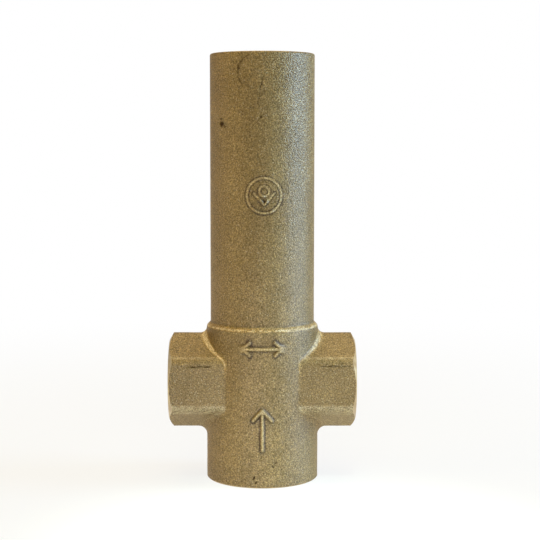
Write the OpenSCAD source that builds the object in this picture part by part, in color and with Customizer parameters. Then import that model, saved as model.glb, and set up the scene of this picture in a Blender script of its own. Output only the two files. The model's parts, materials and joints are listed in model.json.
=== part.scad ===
// Spring-loaded pressure relief valve: a forged brass body with a tall spring tube, two hexagonal
// side outlets in line and an inlet underneath, with every working piece inside it.
// Millimetres. Z is the valve's axis, X runs along the outlets, and Z = 0 is the foot of the body.

/* [Body] */
// Overall height of the body
body_h = 150; // [145:0.5:180]
// Outside diameter of the spring tube
tube_d = 36.7; // [36:0.1:39]
// Outside diameter of the barrel below the tube
barrel_d = 39.5; // [39:0.1:44]
// Height at which the tube ends and the shoulder slopes out to the barrel
shoulder_z = 56; // [55:0.5:64]
// Slope of the shoulder to the horizontal
shoulder_angle = 45; // [30:1:60]
// Radius of the shoulder's forged edge
shoulder_edge_r = 1.2; // [0.6:0.1:2]

/* [Outlet ports] */
// Hexagon of the ports, across flats
port_af = 30; // [28:0.5:31]
// Length over the two port faces
port_span = 65.8; // [62:0.1:80]
// Height of the ports' common axis
port_z = 34.9; // [34:0.1:38]
// Radius of the hexagon's forged edges
port_edge_r = 2.8; // [0.5:0.1:4]
// Diameter of the flat ring left on a port face inside its chamfer
port_face_d = 28.8; // [26:0.1:30]
// Angle of the port chamfer to the port face
port_chamfer_angle = 30; // [20:1:45]
// Radius of the blend between the hexagon and the barrel
port_blend = 3; // [1:0.1:3.2]
// Major diameter of the ports' half-inch parallel pipe thread
port_thread_d = 20.955; // [16:0.001:22]
// Length of the ports' thread
port_thread_l = 15; // [10:0.5:16]
// Diameter of the hole from a port into the valve chamber
port_hole_d = 15; // [10:0.5:15]
// Included angle of the drill point at the end of the port's bore
drill_angle = 118; // [90:1:140]

/* [Inlet] */
// Major diameter of the inlet's three-quarter-inch parallel pipe thread
inlet_thread_d = 26.441; // [25:0.001:30]
// Size of the chamfer at the mouth of each thread
mouth_chamfer = 1; // [0.5:0.1:1.5]

/* [Seat] */
// Diameter of the ring nut that holds the seat
retainer_d = 24; // [23:0.1:25]
// Height of that ring nut
retainer_h = 5; // [4:0.5:6]
// Hexagon for its key, across flats
retainer_key = 14; // [12:0.5:17]
// Diameter of the seat
seat_d = 22; // [20:0.1:23]
// Height of the seat below the body's land
seat_h = 6; // [5.5:0.1:7]
// Bore of the seat
seat_bore_d = 10; // [8:0.1:11]
// Diameter of the seat's nose
seat_nose_d = 16; // [14:0.1:17]
// Width of the seat's conical face
seat_face = 1; // [0.6:0.1:1.5]
// Height of the body's land above the seat
land_h = 2; // [1.5:0.1:3]
// How far the nose stands up past the land
nose_h = 1; // [0.5:0.1:1.5]

/* [Poppet, stem and guide] */
// Diameter of the poppet
poppet_d = 15; // [13:0.1:17]
// Height of the poppet's straight side
poppet_side_h = 6.4; // [5:0.1:8]
// How far the poppet's tip reaches into the seat below its face
poppet_tip_h = 1.5; // [1:0.1:2]
// Lift of the valve from shut to fully open
valve_lift = 3; // [1.5:0.1:3.5]
// Diameter of the stem
stem_d = 10; // [8:0.1:11]
// Diameter of the stem's spigot in the poppet
spigot_d = 6; // [5:0.1:7]
// Length of that spigot
spigot_l = 4.8; // [4:0.1:5.5]
// Diameter of the pin through poppet and spigot
pin_d = 2; // [1.5:0.1:2.5]
// How far the pin's ends lie below the poppet's side
pin_inset = 0.3; // [0.1:0.1:0.8]
// Bore of the valve chamber between seat and guide
chamber_d = 21; // [20:0.1:22]
// Height of the chamber above the ports' hole
chamber_head = 5; // [4.5:0.1:7]
// Diameter of the guide
guide_d = 24; // [23:0.1:26]
// Height of the guide's threaded shank
guide_h = 10; // [9:0.1:13]
// Hexagon of the guide's head, across flats
guide_af = 23; // [21:0.1:23.5]
// Height of the guide's head
guide_head_h = 4; // [3:0.1:6]
// Thickness of the lift stop ring on the stem
stop_h = 1.2; // [0.8:0.1:1.6]
// Diameter of the lift stop ring
stop_d = 15; // [13:0.1:16]
// Depth of the lift stop ring's groove in the stem
stop_groove = 1.2; // [0.8:0.1:1.5]
// Opening of the lift stop ring at the back
stop_opening = 4; // [3:0.1:6]

/* [Seals] */
// Cord diameter of the O-rings
seal_cord = 1.8; // [1.5:0.1:2]
// Height of the guide's static seal above the foot of the guide
guide_seal_up = 2; // [1.5:0.1:2.5]
// Thickness of the back-up rings
backup_h = 1.2; // [0.8:0.1:1.4]
// Width of the stem wiper's section
wiper_w = 2; // [1.5:0.1:2.5]
// Height of the stem wiper
wiper_h = 1.8; // [1.4:0.1:2.4]

/* [Spring] */
// Bore of the spring tube
spring_bore_d = 28; // [27.5:0.1:29]
// Outside diameter of the spring
spring_d = 26.2; // [25:0.1:26.8]
// Diameter of the spring wire
wire_d = 5; // [4:0.1:5.2]
// Number of coils, with one closed coil at each end
coils = 6.5; // [5.5:0.5:6.5]
// Height of the spring plates' rims
plate_h = 5.5; // [5:0.1:7]
// Height of the spring plates' bosses
boss_h = 4; // [3:0.1:5]
// Gap between the guide's head and the lower spring plate
plate_gap = 1.5; // [1:0.1:3]
// Depth of the stem's socket in the lower spring plate
socket_h = 3; // [2:0.1:4]

/* [Adjuster] */
// Major diameter of the adjusting thread in the tube
adjust_d = 30; // [29.5:0.1:31]
// Height of the adjusting screw
screw_h = 14; // [12:0.5:16]
// Hexagon for the adjusting screw's key, across flats
screw_key = 14; // [12:0.5:15]
// Depth of that hexagon
screw_key_h = 8; // [6:0.5:9]
// How far the screw goes down from its rest to its stop
adjust_travel = 8; // [4:0.5:9]
// Thickness of the washer under the lock nut
washer_h = 1.5; // [1:0.1:2]
// Height of the lock nut
nut_h = 6; // [5:0.5:7]
// Depth of the lock nut's top below the rim of the tube
nut_recess = 5; // [3:0.5:8]
// Hole through the lock nut and its washer
nut_hole_d = 18.5; // [18:0.1:20]
// Width of the lock nut's spanner slots
slot_w = 4; // [3:0.1:5]
// Depth of those slots
slot_h = 2.5; // [1.5:0.1:3]
// Diameter of the ball under the adjusting screw
ball_d = 9; // [8:0.1:10]
// Gap between upper spring plate and adjusting screw
ball_gap = 4; // [3:0.1:5]

/* [Clearances] */
// Radial clearance of a sliding or seated fit
slip = 0.03; // [0.01:0.01:0.08]
// Radial clearance of a threaded pair
thread_play = 0.1; // [0.05:0.01:0.2]
// Clearance all round a seal in its groove
seal_gap = 0.05; // [0.02:0.01:0.1]
// Clearance between poppet and seat at rest
face_gap = 0.1; // [0.05:0.01:0.2]
// Radial clearance of the spring plates in the tube
plate_play = 0.8; // [0.3:0.1:1.2]
// Radial clearance of a spring plate's boss in the spring
boss_play = 0.3; // [0.1:0.1:0.6]
// Gap between the closed coils at the spring's ends
coil_play = 0.5; // [0.45:0.05:1]
// Thread left in the tube below the screw at its lowest
thread_relief = 1; // [0.5:0.5:3]

/* [Hidden] */
$fn = 96;

// Colours
forged_brass = "#8f7a4c";
turned_brass = "#c2a35a";
stainless = "#b9bcc0";
spring_steel = "#4b4d52";
plated_steel = "#c9c7bd";
rubber = "#1d1d1f";
ptfe = "#e8e6df";

// Overlap that keeps a cut clear of the face it starts from
eps = 0.01;

// Heights of the lower stack, worked out from the ports' axis downwards
nose_top_z = port_z - port_hole_d/2;
chamber_z = nose_top_z - nose_h;
seat_top_z = chamber_z - land_h;
seat_z = seat_top_z - seat_h;
inlet_l = seat_z - retainer_h;

// Heights of the guide and of the pieces on the stem, worked out upwards
guide_z = port_z + port_hole_d/2 + chamber_head;
spring_floor_z = guide_z + guide_h;
guide_top_z = spring_floor_z + guide_head_h;
lower_plate_z = guide_top_z + plate_gap;
spring_z = lower_plate_z + plate_h;
stem_top_z = lower_plate_z + socket_h;
stop_z = guide_z - valve_lift - stop_h - seal_gap;

// Heights of the adjuster's stack, worked out from the rim of the tube downwards
nut_z = body_h - nut_recess - nut_h;
washer_z = nut_z - washer_h;
screw_z = washer_z - screw_h;
upper_plate_z = screw_z - ball_gap - plate_h;
ball_z = screw_z - ball_gap/2;
thread_z = screw_z - adjust_travel - thread_relief;

// Foot of the shoulder, where its rounded edge runs into the barrel
shoulder_slope_w = (barrel_d - tube_d)/2 - shoulder_edge_r*(1 - sin(shoulder_angle));
shoulder_foot_z = shoulder_z - shoulder_slope_w*tan(shoulder_angle) - shoulder_edge_r*cos(shoulder_angle);

// The poppet's cone lies parallel to the seat's 45 degree face, set off by the gap
cone_z = nose_top_z - seat_face;
cone_r = seat_bore_d/2 - face_gap*sqrt(2);
poppet_z = cone_z - poppet_tip_h;
poppet_tip_r = cone_r - poppet_tip_h;
poppet_shoulder_z = cone_z + poppet_d/2 - cone_r;
poppet_top_z = poppet_shoulder_z + poppet_side_h;
pin_z = poppet_top_z - spigot_l/2;

// Seal grooves: deep enough for the cord, tall enough for the cord and its back-up ring
groove_w = seal_cord + 2*seal_gap;
groove_h = seal_cord + 2*seal_gap;
gland_h = groove_h + backup_h + seal_gap;
seat_gland_z = seat_z + (seat_h - gland_h)/2;
guide_groove_z = guide_z + guide_seal_up;
stem_gland_z = guide_z + (guide_h - gland_h)/2;

// Spring sizes
spring_r = (spring_d - wire_d)/2;
spring_l = upper_plate_z - spring_z;
plate_r = spring_bore_d/2 - plate_play;
boss_r = spring_r - wire_d/2 - boss_play;

// Points of an arc from angle a0 to a1, in n steps
function arc(centre, r, a0, a1, n = 6) =
    [for (i = [0:n]) let (a = a0 + (a1 - a0)*i/n) centre + r*[cos(a), sin(a)]];

// A ring about Z from height z up, h tall
module ring(d, hole, z, h) {
    translate([0, 0, z]) rotate_extrude()
        translate([hole/2, 0]) square([(d - hole)/2, h]);
}

// An O-ring about Z that lies on radius inner and rests at height z
module o_ring(inner, z) {
    translate([0, 0, z + seal_cord/2]) rotate_extrude()
        translate([inner + seal_cord/2, 0]) circle(d = seal_cord, $fn = 32);
}

// A hexagonal prism about Z, given across flats
module hexagon(af, z, h) {
    translate([0, 0, z]) cylinder(d = af/cos(30), h = h, $fn = 6);
}

// Outline of the body turned about Z: barrel, rounded edge, sloping shoulder and tube
module body_turned() {
    rotate_extrude() polygon(concat(
        [[0, 0], [barrel_d/2, 0]],
        arc([barrel_d/2 - shoulder_edge_r, shoulder_foot_z], shoulder_edge_r, 0, 90 - shoulder_angle),
        [[tube_d/2, shoulder_z], [tube_d/2, body_h], [0, body_h]]
    ));
}

// Rounded hexagon of the ports, with flats to the front and the back
function port_outline() = [
    for (k = [0:5])
        each arc((port_af/2 - port_edge_r)/cos(30)*[cos(60*k), sin(60*k)],
                 port_edge_r, 60*k - 30, 60*k + 30, 4)
];

// Both ports as one hexagonal bar through the barrel, chamfered at its ends
module port_bar() {
    face_r = port_face_d/2;
    corner_r = port_af/2/cos(30);
    rise = (corner_r - face_r)*tan(port_chamfer_angle);
    half = port_span/2;
    translate([0, 0, port_z]) rotate([0, 90, 0]) intersection() {
        linear_extrude(port_span, center = true) polygon(port_outline());
        rotate_extrude() polygon([
            [0, -half], [face_r, -half], [corner_r, rise - half],
            [corner_r, half - rise], [face_r, half], [0, half]
        ]);
    }
}

// Reach of the ports' hexagon from its axis, at angle a from the front flat
function port_reach(a) =
    let (off = abs(a % 60 - 30),
         centre = (port_af/2 - port_edge_r)/cos(30),
         tangent = atan2(port_edge_r*sin(30), centre + port_edge_r*cos(30)))
    off < tangent
        ? centre*cos(off) + sqrt(port_edge_r^2 - (centre*sin(off))^2)
        : port_af/2/cos(30 - off);

// Section of the blend at angle a: a hollow curve from the hexagon to the barrel, and its root inside both.
// A ball of the blend's radius would touch both surfaces there, and the curve stays below the shoulder.
function blend_section(a) =
    let (sink = 0.06,
         root = 1.5,
         reach = port_reach(a),
         barrel_x = function (u) sqrt((barrel_d/2)^2 - (u*cos(a))^2),
         corner = [barrel_x(reach), reach],
         turn = atan2(corner[0], reach*cos(a)^2),
         to_shoulder = (shoulder_foot_z - port_z)/max(sin(a), eps) - reach,
         climb = min(port_blend*tan(turn/2)*sin(turn), to_shoulder),
         on_hex = corner + [climb/sin(turn), -sink],
         on_barrel = [barrel_x(reach + climb) - sink, reach + climb],
         curve = [for (t = [0:0.25:1]) (1 - t)^2*on_hex + 2*t*(1 - t)*corner + t^2*on_barrel])
    concat(curve, [on_barrel - [root, 0], corner - [root, root], on_hex - [0, root]]);

// The blend all round one port, as a ring of such sections
module port_blend_ring() {
    columns = 72;
    sections = [for (i = [0:columns - 1]) blend_section(360*i/columns)];
    count = len(sections[0]);
    points = [
        for (i = [0:columns - 1]) let (a = 360*i/columns)
            each [for (p = sections[i]) [p[0], p[1]*cos(a), p[1]*sin(a)]]
    ];
    faces = [
        for (i = [0:columns - 1], j = [0:count - 1])
            let (next = (i + 1) % columns, k = (j + 1) % count,
                 here = [i*count + j, i*count + k, next*count + k, next*count + j])
            each [[here[0], here[1], here[2]], [here[0], here[2], here[3]]]
    ];
    translate([0, 0, port_z]) polyhedron(points, faces);
}

// Everything bored out along the valve's axis, from the foot to the rim
module body_bores() {
    inlet_r = inlet_thread_d/2;
    adjust_r = adjust_d/2;
    rotate_extrude() polygon([
        [0, -eps], [inlet_r + mouth_chamfer + eps, -eps],
        [inlet_r, mouth_chamfer], [inlet_r, inlet_l],
        [retainer_d/2, inlet_l], [retainer_d/2, seat_z],
        [seat_d/2, seat_z], [seat_d/2, seat_top_z],
        [seat_nose_d/2 + slip, seat_top_z], [seat_nose_d/2 + slip, chamber_z],
        [chamber_d/2, chamber_z], [chamber_d/2, guide_z],
        [guide_d/2, guide_z], [guide_d/2, spring_floor_z],
        [spring_bore_d/2, spring_floor_z], [spring_bore_d/2, thread_z],
        [adjust_r, thread_z], [adjust_r, body_h - mouth_chamfer],
        [adjust_r + mouth_chamfer + eps, body_h + eps], [0, body_h + eps]
    ]);
}

// One port's thread bore with its mouth chamfer and drill point, and the hole into the chamber
module port_bore() {
    r = port_thread_d/2;
    floor_x = port_span/2 - port_thread_l;
    point = (r - port_hole_d/2)/tan(drill_angle/2);
    translate([0, 0, port_z]) rotate([0, 90, 0]) rotate_extrude() polygon([
        [0, 0], [port_hole_d/2, 0], [port_hole_d/2, floor_x - point], [r, floor_x],
        [r, port_span/2 - mouth_chamfer], [r + mouth_chamfer + eps, port_span/2 + eps],
        [0, port_span/2 + eps]
    ]);
}

// The forged body in one piece
module body() {
    color(forged_brass) difference() {
        union() {
            body_turned();
            port_bar();
            for (side = [0, 1]) mirror([side, 0, 0]) port_blend_ring();
        }
        body_bores();
        for (side = [0, 1]) mirror([side, 0, 0]) port_bore();
    }
}

// Ring nut that holds the seat up against the body's land
module seat_retainer() {
    color(turned_brass) difference() {
        translate([0, 0, inlet_l]) cylinder(r = retainer_d/2 - thread_play, h = retainer_h);
        hexagon(retainer_key, inlet_l - eps, retainer_h + 2*eps);
    }
}

// Hardened seat with a nose through the land, a seal gland round it and a conical face
module valve_seat() {
    r = seat_d/2 - slip;
    bore_r = seat_bore_d/2;
    nose_r = seat_nose_d/2;
    color(stainless) rotate_extrude() polygon([
        [bore_r, seat_z], [r, seat_z], [r, seat_gland_z],
        [r - groove_w, seat_gland_z], [r - groove_w, seat_gland_z + gland_h],
        [r, seat_gland_z + gland_h], [r, seat_top_z], [nose_r - slip, seat_top_z],
        [nose_r - slip, nose_top_z], [bore_r + seat_face, nose_top_z], [bore_r, cone_z]
    ]);
}

module seat_o_ring() {
    color(rubber) o_ring(seat_d/2 - slip - groove_w + seal_gap, seat_gland_z + seal_gap);
}

module seat_backup_ring() {
    floor_d = seat_d - 2*slip - 2*groove_w;
    color(ptfe) ring(seat_d - 2*slip, floor_d + 2*seal_gap, seat_gland_z + groove_h, backup_h);
}

// Poppet with a conical tip, and a bore from above for the stem's spigot
module poppet() {
    color(stainless) difference() {
        rotate_extrude() polygon([
            [0, poppet_z], [poppet_tip_r, poppet_z],
            [poppet_d/2, poppet_shoulder_z], [poppet_d/2, poppet_top_z], [0, poppet_top_z]
        ]);
        translate([0, 0, poppet_top_z - spigot_l - slip])
            cylinder(r = spigot_d/2 + slip, h = spigot_l + slip + eps);
        pin_hole();
    }
}

// Cross hole of the pin, right through poppet and spigot
module pin_hole() {
    translate([0, 0, pin_z]) rotate([90, 0, 0])
        cylinder(r = pin_d/2 + slip, h = poppet_d + 2*eps, center = true, $fn = 32);
}

module poppet_pin() {
    color(plated_steel) translate([0, 0, pin_z]) rotate([90, 0, 0])
        cylinder(d = pin_d, h = poppet_d - 2*pin_inset, center = true, $fn = 32);
}

// Stem from the poppet up to the lower spring plate, with the groove of the lift stop ring
module stem() {
    r = stem_d/2;
    floor_r = r - stop_groove;
    bevel = 0.5;
    color(stainless) difference() {
        rotate_extrude() polygon([
            [0, poppet_top_z - spigot_l], [spigot_d/2, poppet_top_z - spigot_l],
            [spigot_d/2, poppet_top_z], [r, poppet_top_z],
            [r, stop_z - slip], [floor_r, stop_z - slip],
            [floor_r, stop_z + stop_h + slip], [r, stop_z + stop_h + slip],
            [r, stem_top_z - bevel], [r - bevel, stem_top_z], [0, stem_top_z]
        ]);
        pin_hole();
    }
}

// Snap ring on the stem that meets the guide at full lift, open at the back
module lift_stop_ring() {
    color(plated_steel) difference() {
        ring(stop_d, stem_d - 2*stop_groove + 2*slip, stop_z, stop_h);
        translate([-stop_opening/2, 0, stop_z - eps]) cube([stop_opening, stop_d, stop_h + 2*eps]);
    }
}

// Guide screwed in above the chamber: static seal outside, stem gland inside, wiper pocket in its head
module stem_guide() {
    shank_r = guide_d/2 - slip;
    bore_r = stem_d/2 + slip;
    gland_r = bore_r + groove_w;
    wiper_r = bore_r + wiper_w;
    color(turned_brass) difference() {
        union() {
            rotate_extrude() polygon([
                [0, guide_z], [shank_r, guide_z], [shank_r, guide_groove_z],
                [shank_r - groove_w, guide_groove_z], [shank_r - groove_w, guide_groove_z + groove_h],
                [shank_r, guide_groove_z + groove_h], [shank_r, spring_floor_z], [0, spring_floor_z]
            ]);
            hexagon(guide_af, spring_floor_z, guide_head_h);
        }
        rotate_extrude() polygon([
            [0, guide_z - eps], [bore_r, guide_z - eps], [bore_r, stem_gland_z],
            [gland_r, stem_gland_z], [gland_r, stem_gland_z + gland_h],
            [bore_r, stem_gland_z + gland_h], [bore_r, guide_top_z - wiper_h],
            [wiper_r, guide_top_z - wiper_h], [wiper_r, guide_top_z + eps], [0, guide_top_z + eps]
        ]);
    }
}

module guide_o_ring() {
    color(rubber) o_ring(guide_d/2 - slip - groove_w + seal_gap, guide_groove_z + seal_gap);
}

module stem_o_ring() {
    color(rubber) o_ring(stem_d/2 + slip + seal_gap, stem_gland_z + seal_gap);
}

module stem_backup_ring() {
    inner = stem_d + 2*slip;
    color(ptfe) ring(inner + 2*groove_w - 2*seal_gap, inner, stem_gland_z + groove_h, backup_h);
}

module stem_wiper() {
    inner = stem_d + 2*slip;
    color(ptfe) ring(inner + 2*wiper_w - 2*seal_gap, inner, guide_top_z - wiper_h, wiper_h);
}

// Spring plate with its rim at height 0 and its boss up into the spring
module spring_plate() {
    bevel = 0.6;
    rotate_extrude() polygon([
        [0, 0], [plate_r - bevel, 0], [plate_r, bevel], [plate_r, plate_h],
        [boss_r, plate_h], [boss_r, plate_h + boss_h - bevel],
        [boss_r - bevel, plate_h + boss_h], [0, plate_h + boss_h]
    ]);
}

module lower_spring_plate() {
    color(plated_steel) difference() {
        translate([0, 0, lower_plate_z]) spring_plate();
        translate([0, 0, lower_plate_z - eps]) cylinder(r = stem_d/2 + slip, h = socket_h + eps);
    }
}

module upper_spring_plate() {
    color(plated_steel) difference() {
        translate([0, 0, upper_plate_z + plate_h]) mirror([0, 0, 1]) spring_plate();
        translate([0, 0, ball_z]) sphere(r = ball_d/2 + slip);
    }
}

// Height of the spring wire's centre after some turns, with a closed coil at each end
function wire_z(turn) =
    let (closed = wire_d + coil_play,
         ends = wire_d/2 + slip,
         open = (spring_l - 2*ends - 2*closed)/(coils - 2))
    spring_z + ends + closed*min(turn, 1)
        + open*max(0, min(turn, coils - 1) - 1) + closed*max(0, turn - coils + 1);

// Least gap between neighbouring coils, measured on points along the wire
coil_gap = min([for (i = [0:8*(coils - 1)]) wire_z(i/8 + 1) - wire_z(i/8)]) - wire_d;
echo(least_gap_between_coils = coil_gap);

// Compression spring as one tube swept along its helix
module main_spring() {
    steps = 16;
    sides = 8;
    rings = steps*coils;
    points = [
        for (i = [0:rings], j = [0:sides - 1])
            let (a = 360*i/steps, b = 360*(j + 0.5)/sides,
                 r = spring_r + wire_d/2*cos(b))
            [r*cos(a), r*sin(a), wire_z(i/steps) + wire_d/2*sin(b)]
    ];
    sides_of_tube = [
        for (i = [0:rings - 1], j = [0:sides - 1])
            let (k = (j + 1) % sides, low = i*sides, high = (i + 1)*sides)
            each [[low + j, high + j, high + k], [low + j, high + k, low + k]]
    ];
    first_end = [for (j = [1:sides - 2]) [0, j, j + 1]];
    last_ring = rings*sides;
    last_end = [for (j = [1:sides - 2]) [last_ring, last_ring + j + 1, last_ring + j]];
    color(spring_steel) polyhedron(points, concat(sides_of_tube, first_end, last_end));
}

module thrust_ball() {
    color(stainless) translate([0, 0, ball_z]) sphere(d = ball_d);
}

// Adjusting screw in the tube's thread, with a key socket above and the ball's cup below
module adjusting_screw() {
    r = adjust_d/2 - thread_play;
    bevel = 1;
    color(turned_brass) difference() {
        translate([0, 0, screw_z]) rotate_extrude() polygon([
            [0, 0], [r - bevel, 0], [r, bevel], [r, screw_h - bevel], [r - bevel, screw_h], [0, screw_h]
        ]);
        hexagon(screw_key, screw_z + screw_h - screw_key_h, screw_key_h + eps);
        translate([0, 0, ball_z]) sphere(r = ball_d/2 + slip);
    }
}

module lock_washer() {
    color(plated_steel) ring(adjust_d - 4*thread_play, nut_hole_d, washer_z, washer_h);
}

// Ring nut that locks the screw, with four spanner slots in its top
module lock_nut() {
    r = adjust_d/2 - thread_play;
    bevel = 0.8;
    color(turned_brass) difference() {
        translate([0, 0, nut_z]) rotate_extrude() polygon([
            [nut_hole_d/2, 0], [r - bevel, 0], [r, bevel],
            [r, nut_h - bevel], [r - bevel, nut_h], [nut_hole_d/2, nut_h]
        ]);
        for (a = [0, 90])
            rotate(a) translate([-slot_w/2, -adjust_d/2, nut_z + nut_h - slot_h])
                cube([slot_w, adjust_d, slot_h + eps]);
    }
}

body();
seat_retainer();
valve_seat();
seat_o_ring();
seat_backup_ring();
poppet();
poppet_pin();
stem();
lift_stop_ring();
stem_guide();
guide_o_ring();
stem_o_ring();
stem_backup_ring();
stem_wiper();
lower_spring_plate();
main_spring();
upper_spring_plate();
thrust_ball();
adjusting_screw();
lock_washer();
lock_nut();
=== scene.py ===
"""Looks of the pressure relief valve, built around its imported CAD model."""

import json
import math

import bmesh
import bpy
import numpy as np
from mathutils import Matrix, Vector


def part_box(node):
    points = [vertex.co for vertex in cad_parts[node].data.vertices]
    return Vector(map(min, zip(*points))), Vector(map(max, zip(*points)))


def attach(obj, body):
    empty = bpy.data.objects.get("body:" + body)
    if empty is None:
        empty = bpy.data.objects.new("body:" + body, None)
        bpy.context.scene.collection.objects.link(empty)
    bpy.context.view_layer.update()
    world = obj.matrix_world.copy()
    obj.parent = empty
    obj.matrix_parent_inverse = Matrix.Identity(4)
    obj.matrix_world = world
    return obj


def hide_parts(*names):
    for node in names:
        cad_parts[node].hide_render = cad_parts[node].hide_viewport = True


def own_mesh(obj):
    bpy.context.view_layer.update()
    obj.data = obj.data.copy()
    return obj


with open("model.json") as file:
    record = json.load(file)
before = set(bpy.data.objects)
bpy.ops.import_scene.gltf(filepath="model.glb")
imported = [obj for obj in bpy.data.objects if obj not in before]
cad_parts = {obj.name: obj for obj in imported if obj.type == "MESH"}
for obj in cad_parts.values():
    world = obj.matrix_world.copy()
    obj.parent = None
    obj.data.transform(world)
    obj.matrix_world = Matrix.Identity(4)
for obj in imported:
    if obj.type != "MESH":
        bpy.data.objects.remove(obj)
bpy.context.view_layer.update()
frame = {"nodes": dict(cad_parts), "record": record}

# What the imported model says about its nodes, joints and mounts
NODES = frame["nodes"]
BEHAVIOUR = frame["record"]["behaviour"]
BODIES = {node: name for name, nodes in BEHAVIOUR["bodies"].items() for node in nodes}
MOUNTS = {mount["name"]: mount for mount in frame["record"]["mounts"]}

# Sizes in millimetres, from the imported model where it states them
MM = 0.001
body_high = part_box("body")[1]
BODY_H = body_high.z / MM
BARREL_R = body_high.y / MM
PORT_HALF = body_high.x / MM
PORT_Z = MOUNTS["port_right"]["pos_m"][2] / MM
PORT_THREAD_R = MOUNTS["port_right"]["dims"]["r_mm"]
INLET_THREAD_R = MOUNTS["inlet"]["dims"]["r_mm"]
TUBE_R = 18.35
RIM_R = 0.7
FOOT_BEVEL = 0.35
SHOULDER_Z = 56.0
SHOULDER_EDGE_R = 1.2
SHOULDER_ANGLE = math.radians(45)
SHOULDER_FILLET = 0.5
PORT_FLAT = 15.0
PORT_EDGE_R = 2.8
PORT_FACE_R = 14.4
PORT_CHAMFER = math.tan(math.radians(30))
PORT_BLEND_R = 3.0
PORT_THREAD_L = 15.0
PORT_HOLE_R = 7.5
DRILL_HALF_ANGLE = math.radians(59)
MOUTH_CHAMFER = 1.0
PIPE_PITCH = 1.814
PIPE_DEPTH = 1.162
ADJUST_R = 15.0
ADJUST_Z = 114.5
ADJUST_PITCH = 1.5
ADJUST_DEPTH = 0.812
ADJUST_START = ADJUST_Z - ADJUST_PITCH

shoulder_slope = BARREL_R - TUBE_R - SHOULDER_EDGE_R * (1 - math.sin(SHOULDER_ANGLE))
SHOULDER_FOOT = SHOULDER_Z - shoulder_slope - SHOULDER_EDGE_R * math.cos(SHOULDER_ANGLE)

# Bores of the body above the inlet's thread, each with its radius and its upper end
INLET_END = 13.4
BORES = [
    (12.0, 18.4),  # ring nut of the seat
    (11.0, 24.4),  # seat
    (8.03, 26.4),  # nose of the seat
    (10.5, 47.4),  # valve chamber
    (12.0, 57.4),  # stem guide
    (14.0, ADJUST_Z - 0.2),  # spring
]

# Camera, fitted to the outline of the valve in the photograph
PHOTO_SIZE = 540
FOCAL_PX = 1367.64
SHIFT_PX = 7.70
CAMERA_AT = (0.0, -0.48332, 0.12026)
CAMERA_DOWN = 5.458
camera_data = bpy.data.cameras.new("camera")
camera_data.sensor_width = 36.0
camera_data.lens = FOCAL_PX / PHOTO_SIZE * camera_data.sensor_width
camera_data.shift_x = SHIFT_PX / PHOTO_SIZE
camera_data.clip_start = 0.01
camera = bpy.data.objects.new("camera", camera_data)
camera.location = CAMERA_AT
camera.rotation_euler = (math.radians(90 - CAMERA_DOWN), 0.0, 0.0)
bpy.context.scene.collection.objects.link(camera)
bpy.context.scene.camera = camera


# Meshes

def make_object(name, points, faces, materials=(), indices=None):
    """A mesh object from points in millimetres."""
    mesh = bpy.data.meshes.new(name)
    mesh.from_pydata((np.asarray(points, float) * MM).tolist(), [], faces)
    for material in materials:
        mesh.materials.append(material)
    if indices is not None:
        mesh.polygons.foreach_set("material_index", np.asarray(indices, np.int32))
    worker = bmesh.new()
    worker.from_mesh(mesh)
    loose = [v for v in worker.verts if not v.link_faces]
    bmesh.ops.delete(worker, geom=loose, context="VERTS")
    bmesh.ops.recalc_face_normals(worker, faces=worker.faces)
    worker.to_mesh(mesh)
    worker.free()
    mesh.update()
    thing = bpy.data.objects.new(name, mesh)
    bpy.context.scene.collection.objects.link(thing)
    return thing


def vertex_values(mesh, name):
    """A vector property of a mesh's vertices, such as their places or normals."""
    flat = np.empty(len(mesh.vertices) * 3)
    mesh.vertices.foreach_get(name, flat)
    return flat.reshape(-1, 3)


def smooth(thing, angle=26.0):
    """Smooth shading with sharp edges above an angle."""
    mesh = thing.data
    mesh.polygons.foreach_set("use_smooth", np.ones(len(mesh.polygons), bool))
    mesh.set_sharp_from_angle(angle=math.radians(angle))
    return thing


def lathe(profile, segments=96):
    """Points and faces turned about Z from (radius, height) pairs; a solid's start and end on the axis."""
    points = []
    rings = []
    angles = 2 * np.pi * np.arange(segments) / segments
    for radius, height in profile:
        first = len(points)
        if radius == 0:
            points.append((0.0, 0.0, height))
            rings.append([first] * segments)
        else:
            points.extend((radius * math.cos(a), radius * math.sin(a), height) for a in angles)
            rings.append(list(range(first, first + segments)))
    faces = []
    for low, high in zip(rings, rings[1:]):
        for i in range(segments):
            k = (i + 1) % segments
            corners = [low[i], low[k], high[k], high[i]]
            faces.append(list(dict.fromkeys(corners)))
    return points, faces


# One pitch of a pipe or metric thread as (share of the pitch, share of the depth)
THREAD_FORM = [(0.0, 0.0), (0.12, 0.0), (0.38, 0.9), (0.5, 1.0), (0.62, 0.9), (0.88, 0.0)]


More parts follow.
